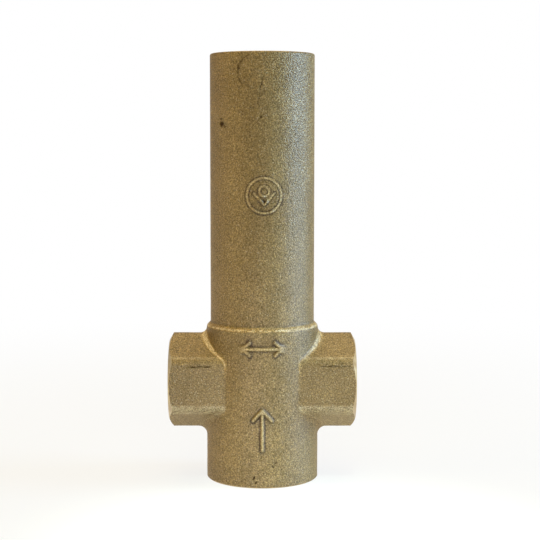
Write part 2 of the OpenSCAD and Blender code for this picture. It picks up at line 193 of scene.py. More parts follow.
def threaded_rod(major, depth, pitch, start, end, steps=72, fade_start=0.0, fade_end=0.0):
    """A closed rod about Z with a right-hand thread, whose ridges fade out over the given lengths."""
    form = len(THREAD_FORM)
    turns = (end - start) / pitch - 1
    last = int(turns * steps)
    points = []
    number = {}

    def put(i, k):
        share, rise = THREAD_FORM[k]
        z = start + pitch * (i / steps + share)
        fade = 1.0
        if fade_start:
            fade = min(fade, max(0.0, (z - start - pitch) / fade_start))
        if fade_end:
            fade = min(fade, max(0.0, (end - pitch - z) / fade_end))
        radius = major - depth * (1 - rise * fade)
        angle = 2 * math.pi * i / steps
        number[(i, k)] = len(points)
        points.append((radius * math.cos(angle), radius * math.sin(angle), z))

    for i in range(last + 1):
        for k in range(form):
            put(i, k)
    for i in range(last + 1, last + steps + 1):
        put(i, 0)

    def at(i, k):
        return number[(i + steps, 0)] if k == form else number[(i, k)]

    faces = [
        [at(i, k), at(i + 1, k), at(i + 1, k + 1), at(i, k + 1)]
        for i in range(last)
        for k in range(form)
    ]
    low = [at(i, 0) for i in range(steps + 1)] + [at(0, k) for k in range(form - 1, 0, -1)]
    high = [at(last, k) for k in range(form + 1)]
    high += [at(i, 0) for i in range(last + steps - 1, last, -1)]
    for loop, height in ((low, start - pitch), (high, end + pitch)):
        tip = len(points)
        points.append((0.0, 0.0, height))
        faces += [[loop[i], loop[(i + 1) % len(loop)], tip] for i in range(len(loop))]
    return points, faces


def turned_to_x(points, side):
    """Points about Z carried over to the port on one side, about X at the ports' height."""
    p = np.asarray(points, float)
    return np.column_stack([side * p[:, 2], p[:, 1], PORT_Z - side * p[:, 0]])


def cut(target, points, faces, index, operation="DIFFERENCE"):
    """Cuts a solid out of an object, or keeps what both share; new faces take the material at an index."""
    tool = make_object("tool", points, faces, target.data.materials, [index] * len(faces))
    change = target.modifiers.new("cut", "BOOLEAN")
    change.operation = operation
    change.solver = "MANIFOLD"
    change.object = tool
    graph = bpy.context.evaluated_depsgraph_get()
    mesh = bpy.data.meshes.new_from_object(target.evaluated_get(graph))
    target.modifiers.clear()
    old = target.data
    target.data = mesh
    mesh.name = target.name
    bpy.data.meshes.remove(old)
    tool_mesh = tool.data
    bpy.data.objects.remove(tool)
    bpy.data.meshes.remove(tool_mesh)
    return target


def value_noise(points, wavelength, seed):
    """Smooth noise from -1 to 1 at points, from a hash of the lattice around them."""
    p = points / wavelength + seed * 17.31
    cell = np.floor(p).astype(np.int64)
    part = p - cell
    part = part * part * (3 - 2 * part)
    total = np.zeros(len(points))
    for dx in (0, 1):
        for dy in (0, 1):
            for dz in (0, 1):
                mix = (cell[:, 0] + dx) * 374761393 + (cell[:, 1] + dy) * 668265263
                mix = (mix + (cell[:, 2] + dz) * 2147483629 + seed * 1013904223) & 0xFFFFFFFF
                mix = ((mix ^ (mix >> 13)) * 1274126177) & 0xFFFFFFFF
                level = (mix ^ (mix >> 16)) / 0x7FFFFFFF - 1
                weight = np.where(dx, part[:, 0], 1 - part[:, 0])
                weight = weight * np.where(dy, part[:, 1], 1 - part[:, 1])
                weight = weight * np.where(dz, part[:, 2], 1 - part[:, 2])
                total += level * weight
    return total


def ramp(value, low, high):
    """0 below low, 1 above high, smooth between."""
    t = np.clip((value - low) / (high - low), 0, 1)
    return t * t * (3 - 2 * t)


def stretch(*stops):
    """Values from stop to stop: (first, step, next, step, ..., last), each stop kept."""
    values = [stops[0]]
    for start, step, end in zip(stops[0:-2:2], stops[1:-1:2], stops[2::2]):
        count = max(1, round(abs(end - start) / step))
        values += [start + (end - start) * i / count for i in range(1, count + 1)]
    return values


# Forged marks on the front: a ring with the drawing symbol of a ball on its seat, and flow arrows
RING_AT = (0.65, 101.2)
RING_R, RING_WIDTH, RING_HEIGHT = 6.0, 0.9, 0.65
BALL_AT, BALL_R = (0.0, 1.45), 1.75
BALL_TURN = [math.radians(20 * i) for i in range(19)]
SYMBOL_LINES = [
    [(-3.5, 0.7), (0.0, -3.2), (3.5, 0.7)],
    [(BALL_AT[0] + BALL_R * math.cos(a), BALL_AT[1] + BALL_R * math.sin(a)) for a in BALL_TURN],
]
OUTLET_AT = (0.0, 48.6)
OUTLET_LINES = [
    [(-7.0, 0.0), (7.0, 0.0)],
    [(-4.4, 2.2), (-7.0, 0.0), (-4.4, -2.2)],
    [(4.4, 2.2), (7.0, 0.0), (4.4, -2.2)],
]
INLET_AT = (0.0, 20.4)
INLET_LINES = [
    [(0.0, -7.0), (0.0, 7.0)],
    [(-3.2, 3.4), (0.0, 7.0), (3.2, 3.4)],
]
# Each mark's place, lines, stroke width and height
MARKS = [
    (RING_AT, SYMBOL_LINES, RING_WIDTH, RING_HEIGHT),
    (OUTLET_AT, OUTLET_LINES, 1.25, 0.75),
    (INLET_AT, INLET_LINES, 1.25, 0.75),
]
MARKS_REACH = 10.0
STROKE_TOP, STROKE_FOOT = 0.2, 0.75
FAR_FROM_MARKS = 9.0


def line_distance(s, z, lines):
    """Distance of each point to the nearest of some open lines."""
    nearest = np.full(len(s), np.inf)
    for line in lines:
        for (s0, z0), (s1, z1) in zip(line, line[1:]):
            ds, dz = s1 - s0, z1 - z0
            t = np.clip(((s - s0) * ds + (z - z0) * dz) / (ds * ds + dz * dz), 0, 1)
            nearest = np.minimum(nearest, np.hypot(s - s0 - t * ds, z - z0 - t * dz))
    return nearest


def mark_field(points):
    """Height of the marks above the skin, and the distance from the nearest stroke in stroke widths."""
    radius = np.hypot(points[:, 0], points[:, 1])
    s = radius * np.arctan2(points[:, 0], -points[:, 1])
    z = points[:, 2]
    front = (np.abs(s) < MARKS_REACH) & (radius > TUBE_R - 0.5)
    height = np.zeros(len(points))
    share = np.full(len(points), FAR_FROM_MARKS)
    s, z = s[front], z[front]
    nearest = np.abs(np.hypot(s - RING_AT[0], z - RING_AT[1]) - RING_R) / RING_WIDTH
    found = RING_HEIGHT * (1 - ramp(nearest, STROKE_TOP, STROKE_FOOT))
    for (s0, z0), lines, width, rise in MARKS:
        away = line_distance(s - s0, z - z0, lines) / width
        found = np.maximum(found, rise * (1 - ramp(away, STROKE_TOP, STROKE_FOOT)))
        nearest = np.minimum(nearest, away)
    height[front] = found
    share[front] = nearest
    return height, share


# Body: the forged skin as one closed mesh, then its bores and threads

FORGED, TURNED_Z, TURNED_X = 0, 1, 2

# Opening of the turned skin for a port: its lower end, and its half width in degrees about Z
HOLE_LOW = 13.6
HOLE_ANGLE = 72.0

# Heights with close rows for the marks, steps of the rows in millimetres, and columns in degrees
INLET_BAND = (12.4, 28.3)
OUTLET_BAND = (45.2, 52.0)
RING_BAND = (94.0, 108.4)
BARREL_ROW, TUBE_ROW, SHOULDER_ROW = 0.95, 1.0, 0.6
MARK_ROW, RING_ROW = 0.25, 0.22
MARKS_TURN = 25.2
MARK_COLUMN, SIDE_COLUMN, BACK_COLUMN = 0.72, 2.7, 3.0

# Rows of a port on the barrel round it, in the blend, along the hexagon and on the chamfer of its end
LAND_ROWS, BLEND_ROWS, WALL_ROWS, CHAMFER_ROWS = 6, 9, 13, 2

# Least width of the rows on the barrel, and width of the outer ring on the end face, in millimetres
LEAST_LAND = 0.12
FACE_RING = 1.2

# Waves of the forged skin: height, length and seed
WAVES = [(0.05, 9.0, 1), (0.03, 3.6, 2), (0.018, 1.7, 3)]


def port_reach(angle):
    """Reach of the rounded hexagon from the port's axis, at angles in degrees from its front flat."""
    off = np.abs(np.mod(angle, 60) - 30)
    half = math.radians(30)
    centre = (PORT_FLAT - PORT_EDGE_R) / math.cos(half)
    across, along = PORT_EDGE_R * math.sin(half), PORT_EDGE_R * math.cos(half)
    tangent = math.degrees(math.atan2(across, centre + along))
    turn = np.radians(off)
    edge = np.sqrt(np.maximum(PORT_EDGE_R**2 - (centre * np.sin(turn)) ** 2, 0))
    return np.where(off < tangent, centre * np.cos(turn) + edge, PORT_FLAT / np.cos(half - turn))


def skin_profile():
    """(radius, height) of the turned skin from the foot to the rim."""
    rows = [(BARREL_R - FOOT_BEVEL, 0.0)]
    heights = stretch(
        FOOT_BEVEL, BARREL_ROW, INLET_BAND[0], MARK_ROW, HOLE_LOW, MARK_ROW, INLET_BAND[1], BARREL_ROW,
        OUTLET_BAND[0], MARK_ROW, OUTLET_BAND[1], SHOULDER_ROW, SHOULDER_FOOT,
    )
    rows += [(BARREL_R, z) for z in heights]
    edge_r, edge_x = SHOULDER_EDGE_R, BARREL_R - SHOULDER_EDGE_R
    for i in range(1, 7):
        a = SHOULDER_ANGLE * i / 6
        rows.append((edge_x + edge_r * math.cos(a), SHOULDER_FOOT + edge_r * math.sin(a)))
    for out, up in ((0.55, -0.55), (0.2, -0.05), (0.05, 0.3)):
        rows.append((TUBE_R + out * SHOULDER_FILLET, SHOULDER_Z + up * SHOULDER_FILLET))
    heights = stretch(
        SHOULDER_Z + 0.7 * SHOULDER_FILLET, TUBE_ROW, RING_BAND[0], RING_ROW, RING_BAND[1], TUBE_ROW,
        BODY_H - RIM_R,
    )
    rows += [(TUBE_R, z) for z in heights]
    for i in range(1, 5):
        a = math.radians(90 * i / 4)
        rows.append((TUBE_R - RIM_R * (1 - math.cos(a)), BODY_H - RIM_R * (1 - math.sin(a))))
    return np.array(rows)


def skin_columns():
    """Angles of the skin's columns in degrees from the front, the ports' edges among them."""
    half = stretch(
        0.0, MARK_COLUMN, 90 - HOLE_ANGLE, MARK_COLUMN, MARKS_TURN, SIDE_COLUMN, 90 + HOLE_ANGLE,
        BACK_COLUMN, 180.0,
    )
    return np.array([-a for a in half[-2:0:-1]] + half)


def make_skin(materials):
    """The closed skin of the body: turned grid with two openings, and both ports grown from them."""
    rows = skin_profile()
    columns = skin_columns()
    n_rows, n_columns = len(rows), len(columns)
    turn = np.radians(columns)
    points = np.empty((n_rows, n_columns, 3))
    points[:, :, 0] = rows[:, :1] * np.sin(turn)
    points[:, :, 1] = -rows[:, :1] * np.cos(turn)
    points[:, :, 2] = rows[:, 1:]
    points = points.reshape(-1, 3).tolist()
    faces, indices = [], []
    low_row = int(np.argmin(np.abs(rows[:, 1] - HOLE_LOW)))
    high_row = int(np.argmin(np.abs(rows[:, 1] - SHOULDER_FOOT)))
    openings = []
    for side in (1, -1):
        ends = [side * (90 - HOLE_ANGLE), side * (90 + HOLE_ANGLE)]
        first, last = sorted(int(np.argmin(np.abs(columns - e))) for e in ends)
        openings.append((side, first, last))

    def grid(row, column):
        return row * n_columns + column % n_columns

    for row in range(n_rows - 1):
        for column in range(n_columns):
            in_hole = low_row <= row < high_row and any(a <= column < b for _, a, b in openings)
            if not in_hole:
                lower = [grid(row, column), grid(row, column + 1)]
                upper = [grid(row + 1, column + 1), grid(row + 1, column)]
                faces.append(lower + upper)
                indices.append(TURNED_Z if row == 0 else FORGED)
    for row, height in ((0, 0.0), (n_rows - 1, BODY_H)):
        tip = len(points)
        points.append([0.0, 0.0, height])
        for column in range(n_columns):
            faces.append([grid(row, column), grid(row, column + 1), tip])
            indices.append(TURNED_Z)
    for side, first, last in openings:
        loop = [grid(low_row, c) for c in range(first, last + 1)]
        loop += [grid(r, last) for r in range(low_row + 1, high_row + 1)]
        loop += [grid(high_row, c) for c in range(last - 1, first - 1, -1)]
        loop += [grid(r, first) for r in range(high_row - 1, low_row, -1)]
        add_port(points, faces, indices, loop, side)
    return make_object("valve_body", points, faces, materials, indices)


def add_port(points, faces, indices, loop, side):
    """One port, grown from the loop of points round its opening in the barrel."""
    start = np.array([points[i] for i in loop])
    y, w = start[:, 1], start[:, 2] - PORT_Z
    reach_0 = np.hypot(y, w)
    angle = np.arctan2(w, y)
    cos_a, sin_a = np.cos(angle), np.sin(angle)
    reach = port_reach(np.degrees(angle))

    def barrel_x(u):
        return np.sqrt(BARREL_R**2 - (u * cos_a) ** 2)

    def shares(count):
        return np.linspace(0, 1, count + 1)[1:]

    bend = np.arctan2(barrel_x(reach), reach * cos_a**2)
    climb = np.minimum(PORT_BLEND_R * np.tan(bend / 2) * np.sin(bend), reach_0 - reach - LEAST_LAND)
    foot_u = reach + climb
    foot_x = barrel_x(foot_u)
    pull_x = foot_x + climb * foot_u * cos_a**2 / foot_x
    wall_x = pull_x + np.hypot(pull_x - foot_x, climb)
    end_x = PORT_HALF - (reach - PORT_FACE_R) * PORT_CHAMFER
    weight = np.cos(np.arctan2(climb, pull_x - foot_x) / 2)
    levels = []
    for t in shares(LAND_ROWS):
        u = reach_0 + (foot_u - reach_0) * t
        levels.append((barrel_x(u), u, FORGED))
    for t in shares(BLEND_ROWS):
        a, b, c = (1 - t) ** 2, 2 * t * (1 - t) * weight, t**2
        whole = a + b + c
        x = (a * foot_x + b * pull_x + c * wall_x) / whole
        u = (a * foot_u + b * reach + c * reach) / whole
        levels.append((x, u, FORGED))
    for t in shares(WALL_ROWS):
        levels.append((wall_x + (end_x - wall_x) * t, reach, FORGED))
    for t in shares(CHAMFER_ROWS):
        levels.append((end_x + (PORT_HALF - end_x) * t, reach + (PORT_FACE_R - reach) * t, TURNED_X))
    count = len(loop)
    levels.append((np.full(count, PORT_HALF), np.full(count, PORT_FACE_R - FACE_RING), TURNED_X))
    before = list(loop)
    for x, u, index in levels:
        first = len(points)
        points.extend(np.column_stack([side * x, u * cos_a, PORT_Z + u * sin_a]).tolist())
        after = list(range(first, first + count))
        for i in range(count):
            k = (i + 1) % count
            faces.append([before[i], before[k], after[k], after[i]])
            indices.append(index)
        before = after
    tip = len(points)
    points.append([side * PORT_HALF, 0.0, PORT_Z])
    for i in range(count):
        faces.append([before[i], before[(i + 1) % count], tip])
        indices.append(TURNED_X)


def rough_up(thing):
    """Gives the forged skin its slight waves and its raised marks; machined faces stay true."""
    mesh = thing.data
    p = vertex_values(mesh, "co") / MM
    normals = vertex_values(mesh, "normal")
    off_axis = np.hypot(p[:, 1], p[:, 2] - PORT_Z)
    face_x = PORT_HALF - np.maximum(off_axis - PORT_FACE_R, 0) * PORT_CHAMFER
    keep = ramp(p[:, 2], 0.4, 2.0) * ramp(BODY_H - p[:, 2], 0.8, 2.5)
    keep = keep * ramp(face_x - np.abs(p[:, 0]), 0.15, 1.5)
    wave = sum(height * value_noise(p, length, seed) for height, length, seed in WAVES)
    p = p + normals * (keep * wave)[:, None]
    lift = mark_field(p)[0] * keep
    p = p + normals * lift[:, None]
    mesh.vertices.foreach_set("co", (p * MM).ravel())
    mesh.update()


def bore_body(thing):
    """Cuts the axial bore, the ports and all threads of the body."""
    overcut, adjust_overcut = 0.12, 0.1
    fade, adjust_fade = 1.2, 1.0
    out, rod_out = 0.5, 4.0
    chamfer = PIPE_DEPTH + MOUTH_CHAMFER
    inlet_minor = INLET_THREAD_R - PIPE_DEPTH
    adjust_minor = ADJUST_R - ADJUST_DEPTH
    profile = [
        (0, -out), (INLET_THREAD_R + MOUTH_CHAMFER + out, -out), (inlet_minor, chamfer),
        (inlet_minor, INLET_END),
    ]
    low = INLET_END
    for radius, high in BORES:
        profile += [(radius, low), (radius, high)]
        low = high
    profile += [
        (adjust_minor, ADJUST_Z), (adjust_minor, BODY_H - ADJUST_DEPTH - MOUTH_CHAMFER),
        (ADJUST_R + MOUTH_CHAMFER + out, BODY_H + out), (0, BODY_H + out),
    ]
    cut(thing, *lathe(profile), TURNED_Z)
    inlet_rod = threaded_rod(
        INLET_THREAD_R, PIPE_DEPTH + overcut, PIPE_PITCH, -rod_out, INLET_END + fade,
        steps=80, fade_end=fade,
    )
    cut(thing, *inlet_rod, TURNED_Z)
    adjust_end = BODY_H + 2 * ADJUST_PITCH
    adjust_rod = threaded_rod(
        ADJUST_R, ADJUST_DEPTH + adjust_overcut, ADJUST_PITCH, ADJUST_START, adjust_end,
        fade_start=adjust_fade,
    )
    cut(thing, *adjust_rod, TURNED_Z)
    port_minor = PORT_THREAD_R - PIPE_DEPTH
    floor_x = PORT_HALF - PORT_THREAD_L
    point = (port_minor - PORT_HOLE_R) / math.tan(DRILL_HALF_ANGLE)
    past_axis = 3.0
    profile = [
        (0, past_axis), (PORT_HOLE_R, past_axis), (PORT_HOLE_R, floor_x - point), (port_minor, floor_x),
        (port_minor, PORT_HALF - chamfer),
        (PORT_THREAD_R + MOUTH_CHAMFER + out, PORT_HALF + out), (0, PORT_HALF + out),
    ]
    core_points, core_faces = lathe(profile)
    port_rod_start, port_rod_end = floor_x - 0.6, PORT_HALF + 3.6
    rod_points, rod_faces = threaded_rod(
        PORT_THREAD_R, PIPE_DEPTH + overcut, PIPE_PITCH, port_rod_start, port_rod_end, fade_start=fade
    )
    for side in (1, -1):
        cut(thing, turned_to_x(core_points, side), core_faces, TURNED_X)
        cut(thing, turned_to_x(rod_points, side), rod_faces, TURNED_X)


def paint_wear_and_light(thing):
    """Stores the wear and painted light of each point of the skin: above 0 wear and painted highlights,
    below 0 painted shade; and how much paler its painted highlights and rubbed tops make it.
    """
    mesh = thing.data
    p = vertex_values(mesh, "co") / MM
    x, y, z = p.T
    radius = np.hypot(x, y)
    patchy = 0.75 + 0.6 * value_noise(p, 0.9, 5)
    # Patches of the painted shade round the marks' feet
    shade_patches = np.clip(0.75 + 0.5 * value_noise(p, 1.3, 6) + 0.25 * value_noise(p, 4.0, 7), 0.3, 1)

    # Tops and feet of the marks: tops paler, partly wear and partly painted highlight; painted shade round
    # the feet
    share = mark_field(p)[1]
    top = 1 - ramp(share, 0.1, 0.45)
    foot_shade = ramp(share, 0.4, 0.65) * (1 - ramp(share, 0.8, 1.15))

    # Outer edge of the shoulder, brighter as wear and painted highlight, and its inner corner, darker as
    # painted shade
    edge = 1 - ramp(np.hypot(radius - BARREL_R + 0.5, z - SHOULDER_FOOT - 1.1), 0.55, 1.2)
    nook_shade = 1 - ramp(np.hypot(radius - TUBE_R - 0.1, z - SHOULDER_Z), 0.3, 1.2)

    # Blends above the ports: painted highlight, stronger on the left
    off_axis = np.hypot(y, z - PORT_Z)
    reach = port_reach(np.degrees(np.arctan2(z - PORT_Z, y)))
    blend = ramp(np.minimum(radius - BARREL_R, off_axis - reach), 0.03, 0.3)
    blend = blend * ramp(z - PORT_Z, 2.0, 9.0) * np.where(x < 0, 2.1, 1.1) * ramp(share, 0.8, 1.2)

    # Edges of the ports' hexagons, found by the angle above the ports' axis in degrees: painted pale
    # highlight bands on the edges, and painted light from below on the lower faces, stronger on the right
    tilt = np.degrees(np.arctan2(z - PORT_Z, np.abs(y)))
    on_port = 1 - ramp(off_axis - reach, 0.05, 0.6)
    upper_edge = 1 - ramp(np.abs(tilt - 36.0), 1.0, 3.4)
    lower_edge = ramp(-tilt, 23.0, 26.0) * (1 - ramp(-tilt, 38.5, 42.0))
    underside_light = ramp(-tilt, 38.0, 42.0) * np.where(x > 0, 0.45, 0.25)

    rubbed = on_port * (patchy * (0.95 * upper_edge + 1.1 * lower_edge) + underside_light) + 0.7 * top
    worn = 0.5 * top - 1.1 * foot_shade * shade_patches + 1.4 * edge * patchy - 0.2 * nook_shade + 0.75 * blend
    for name, values in (("worn", np.clip(worn, -1, 1)), ("rubbed", np.clip(rubbed, 0, 1))):
        store = mesh.attributes.new(name, "FLOAT", "POINT")
        store.data.foreach_set("value", values)


# Materials

class Graph:
    """The nodes of a material or of the world, with a short call for each kind."""

    def __init__(self, tree):
        self.nodes = tree.nodes
        self.links = tree.links

    def put(self, node, inputs):
        """Links inputs of a node, by name or number, to other nodes' outputs, or sets them to constants."""
        for name, value in inputs.items():
            if isinstance(value, bpy.types.NodeSocket):
                self.links.new(value, node.inputs[name])
            else:
                node.inputs[name].default_value = value

    def add(self, kind, inputs, **settings):
        node = self.nodes.new("ShaderNode" + kind)
        for name, value in settings.items():
            setattr(node, name, value)
        self.put(node, inputs)
        return node

    def place(self):
        """The place on the object, in metres."""
        return self.add("TexCoord", {}).outputs["Object"]

    def split(self, vector):
        """The outputs X, Y and Z of a vector."""
        return self.add("SeparateXYZ", {"Vector": vector}).outputs

    def stored(self, name):
        """A value that is stored on the mesh."""
        return self.add("Attribute", {}, attribute_name=name).outputs["Fac"]

    def noise(self, where, scale, detail=2.0, rough=0.5, output="Fac"):
        inputs = {"Vector": where, "Scale": scale, "Detail": detail, "Roughness": rough}
        return self.add("TexNoise", inputs).outputs[output]

    def ramp(self, value, *stops):
        """A colour ramp over (place, colour) stops, where a number stands for a grey."""
        node = self.add("ValToRGB", {"Fac": value})
        elements = node.color_ramp.elements
        while len(elements) < len(stops):
            elements.new(0.5)
        for element, (place, colour) in zip(elements, stops):
            element.position = place
            element.color = colour if isinstance(colour, tuple) else grey(colour)
        return node.outputs["Color"]

    def mix(self, factor, first, second, blend="MIX"):
        """Two colours mixed by a factor."""
        node = self.add("Mix", {0: factor}, data_type="RGBA", blend_type=blend)
        colours = [i for i, socket in enumerate(node.inputs) if socket.type == "RGBA"]
        self.put(node, dict(zip(colours, (first, second))))
        return next(socket for socket in node.outputs if socket.type == "RGBA")

    def math(self, operation, *values):
        return self.add("Math", dict(enumerate(values)), operation=operation).outputs[0]

    def vector_math(self, operation, *values):
        return self.add("VectorMath", dict(enumerate(values)), operation=operation).outputs

    def bump(self, height, strength, distance, before=None):
        """The normal bent by a height, on top of an earlier bump."""
        node = self.add("Bump", {"Height": height, "Strength": strength, "Distance": distance})
        if before is not None:
            self.put(node, {"Normal": before})
        return node.outputs["Normal"]

    def fade(self, value, low, high, at_low, at_high, shape="LINEAR"):
        """A level that goes from one value to another between two limits."""
        inputs = {"Value": value, "From Min": low, "From Max": high, "To Min": at_low, "To Max": at_high}
        return self.add("MapRange", inputs, interpolation_type=shape).outputs["Result"]


def new_material(name):
    """A node material: (material, graph, shader)."""
    material = bpy.data.materials.new(name)
    material.use_nodes = True
    shader = next(n for n in material.node_tree.nodes if n.type == "BSDF_PRINCIPLED")
    return material, Graph(material.node_tree), shader


def linear(red, green, blue):
    """A colour given in sRGB values from 0 to 255, as the shaders want it."""
    def one(value):
        v = value / 255
        return v / 12.92 if v <= 0.04045 else ((v + 0.055) / 1.055) ** 2.4
    return (one(red), one(green), one(blue), 1.0)


def grey(level):
    return (level, level, level, 1.0)


# Creases and pits of the forged skin, the creases with painted shade: centre x, y, z, half length, half
# width, tilt in XZ and strength
CREASES = [
    (-5.4, -17.5, 148.2, 1.3, 0.26, 32, 0.6), (-7.1, -16.9, 146.6, 1.3, 0.34, 55, 0.65),
    (-8.1, -16.5, 144.6, 1.5, 0.4, 78, 0.7), (-8.2, -16.4, 142.3, 1.5, 0.36, 98, 0.65),
    (-7.5, -16.7, 140.0, 1.4, 0.3, 116, 0.6),
    (0.2, -18.3, 140.8, 1.6, 0.22, 76, 0.75), (-0.5, -18.3, 138.1, 1.6, 0.22, 76, 0.75),
    (-1.1, -18.3, 134.1, 2.4, 0.18, 83, 0.55), (-28.4, -15.0, 41.8, 2.0, 0.18, 1, 0.35),
    (-24.5, -15.0, 41.7, 1.8, 0.31, -2, 1.0), (-19.2, -15.2, 41.7, 1.5, 0.36, 3, 1.0),
    (-21.8, -15.0, 41.8, 1.5, 0.26, 0, 0.85), (21.6, -15.0, 41.9, 1.8, 0.22, -3, 0.55),
    (23.8, -15.0, 42.0, 1.4, 0.3, 14, 0.75), (25.6, -15.0, 42.0, 1.3, 0.3, -20, 0.75),
    (27.9, -15.0, 41.8, 1.6, 0.2, 2, 0.45),
]
PITS = [
    (-13.8, -12.1, 125.5, 1.15, 0.95, 20, 1.0), (-14.1, -11.7, 127.2, 0.5, 0.42, 70, 0.8),
    (-12.8, -13.2, 124.7, 0.5, 0.4, 120, 0.7), (-0.4, -18.3, 127.8, 0.34, 0.32, 0, 1.0),
    (-2.9, -19.5, 3.7, 0.8, 0.42, 70, 1.0), (-2.2, -19.6, 2.0, 0.6, 0.3, 60, 0.9),
    (3.7, -19.4, 7.6, 0.6, 0.36, 120, 0.8), (4.7, -19.2, 8.9, 0.6, 0.3, 50, 0.8),
    (6.5, -18.7, 6.3, 0.36, 0.3, 0, 0.7), (30.2, -15.0, 41.7, 0.4, 0.3, 30, 0.5),
    (-27.5, -14.2, 50.0, 0.4, 0.3, 0, 0.7), (-5.0, 17.7, 118.0, 0.8, 0.55, 10, 0.9),
    (7.0, 18.5, 9.0, 0.6, 0.5, 30, 0.8), (17.0, 6.9, 88.0, 0.5, 0.42, 0, 0.8),
]
CREASE_DEPTH, PIT_DEPTH = 2.5, 1.5
RAGGED = 0.5 * MM


def spots(g, place, entries, depth):
    """The strength of the flat ellipsoid that a point lies in, fading to 0 at its edge."""
    total = None
    for x, y, z, length, width, tilt, strength in entries:
        inputs = {
            "Vector": place,
            "Location": (x * MM, y * MM, z * MM),
            "Rotation": (0.0, -math.radians(tilt), 0.0),
            "Scale": (length * MM, depth * MM, width * MM),
        }
        inside = g.add("Mapping", inputs, vector_type="TEXTURE").outputs["Vector"]
        mask = g.fade(g.vector_math("LENGTH", inside)["Value"], 1.25, 0.5, 0.0, strength)
        total = mask if total is None else g.math("MAXIMUM", total, mask)
    return total


def forged_brass():
    """Shot-blasted forging skin with grain, painted glints, worn edges with painted highlights, painted
    shade at the marks' feet and in corners, creases and pits.
    """
    material, g, shader = new_material("forged_brass")
    place = g.place()
    broad = g.noise(place, 90.0, 3.0, 0.55)
    middle = g.noise(place, 420.0, 2.0, 0.6)
    grain = g.noise(place, 2200.0, 1.0, 0.7)
    glint = g.noise(place, 2700.0, 0.0, 0.5)
    cells = g.add("TexVoronoi", {"Vector": place, "Scale": 2500.0}).outputs["Color"]
    cell_level = g.add("SeparateColor", {"Color": cells}).outputs["Red"]

    # Creases and pits, with ragged outlines
    wander = g.noise(place, 1100.0, output="Color")
    shifted = g.vector_math("MULTIPLY_ADD", wander, (RAGGED, RAGGED, RAGGED), place)["Vector"]
    ragged = g.vector_math("SUBTRACT", shifted, (RAGGED / 2, RAGGED / 2, RAGGED / 2))["Vector"]
    crease = spots(g, ragged, CREASES, CREASE_DEPTH)
    crease = g.math("MULTIPLY", crease, g.ramp(middle, (0.3, 0.4), (0.48, 1.0)))
    pit = spots(g, ragged, PITS, PIT_DEPTH)
    hollow = g.math("MAXIMUM", crease, pit)

    # Colour: brass with grain, then wear with painted highlights and painted shade, bare metal and painted
    # highlights, painted glints and the hollows
    colour = g.ramp(broad, (0.3, linear(122, 99, 51)), (0.7, linear(137, 113, 64)))
    fleck = g.ramp(grain, (0.3, 0.45), (0.5, 0.99), (0.72, 1.64))
    colour = g.mix(0.95, colour, fleck, "MULTIPLY")
    speck = g.ramp(cell_level, (0.0, 0.84), (0.7, 1.0), (1.0, 1.26))
    colour = g.mix(1.0, colour, speck, "MULTIPLY")
    # Wear and painted light stored on the mesh: painted shade below 0, wear and painted highlights above 0
    worn = g.stored("worn")
    painted_shade, bright = (0.15, 0.12, 0.08, 1.0), (0.95, 0.92, 0.84, 1.0)
    wear_light_and_shade = g.ramp(g.math("MULTIPLY_ADD", worn, 0.5, 0.5), (0.05, painted_shade), (0.5, 0.5), (0.95, bright))
    colour = g.mix(1.0, colour, wear_light_and_shade, "OVERLAY")
    # Bare metal where the shoulder edge and the blends above the ports are brightest, partly wear and
    # partly painted highlight
    bare_and_highlight = g.ramp(worn, (0.72, 0.0), (1.0, 0.75))
    bare_and_highlight = g.math("MULTIPLY", bare_and_highlight, g.ramp(grain, (0.38, 0.2), (0.6, 1.1)))
    colour = g.mix(bare_and_highlight, colour, linear(232, 216, 176))
    # Painted pale highlights on the ports' edges, painted light from below on their lower faces, and paler
    # worn tops of the marks
    pale = g.math("MULTIPLY", g.stored("rubbed"), g.ramp(grain, (0.36, 0.1), (0.62, 0.38)))
    colour = g.mix(pale, colour, linear(234, 222, 184))
    # Painted glints: pale dots scattered over the skin
    shine = g.ramp(glint, (0.7, 0.0), (0.78, 1.0))
    colour = g.mix(g.math("MULTIPLY", shine, 0.3), colour, linear(220, 210, 178))
    # Painted shade in the creases, then the dark pits
    colour = g.mix(g.math("MULTIPLY", crease, 0.9), colour, linear(50, 35, 18))
    colour = g.mix(g.math("MULTIPLY", pit, 0.95), colour, linear(46, 30, 22))

    # Gloss: a thin film over the metal, absent in the hollows
    film = g.ramp(grain, (0.3, 0.12), (0.5, 0.19), (0.7, 0.31))
    film = g.math("MULTIPLY", film, g.math("SUBTRACT", 1.0, hollow))
    rough = g.mix(shine, g.ramp(middle, (0.3, 0.39), (0.7, 0.46)), grey(0.3))

    # Relief
    normal = g.bump(middle, 0.16, 0.5 * MM)
    normal = g.bump(grain, 0.84, 0.6 * MM, normal)
    normal = g.bump(g.math("MULTIPLY", hollow, -1.0), 0.8, 0.4 * MM, normal)
    g.put(shader, {
        "Base Color": colour,
        "Metallic": 0.6,
        "Roughness": rough,
        "Specular IOR Level": 0.06,
        "Specular Tint": (0.82, 0.64, 0.42, 1.0),
        "Normal": normal,
        "Coat Weight": film,
        "Coat IOR": 3.0,
        "Coat Roughness": 0.4,
        "Coat Normal": g.bump(grain, 0.45, 0.5 * MM),
    })
    return material


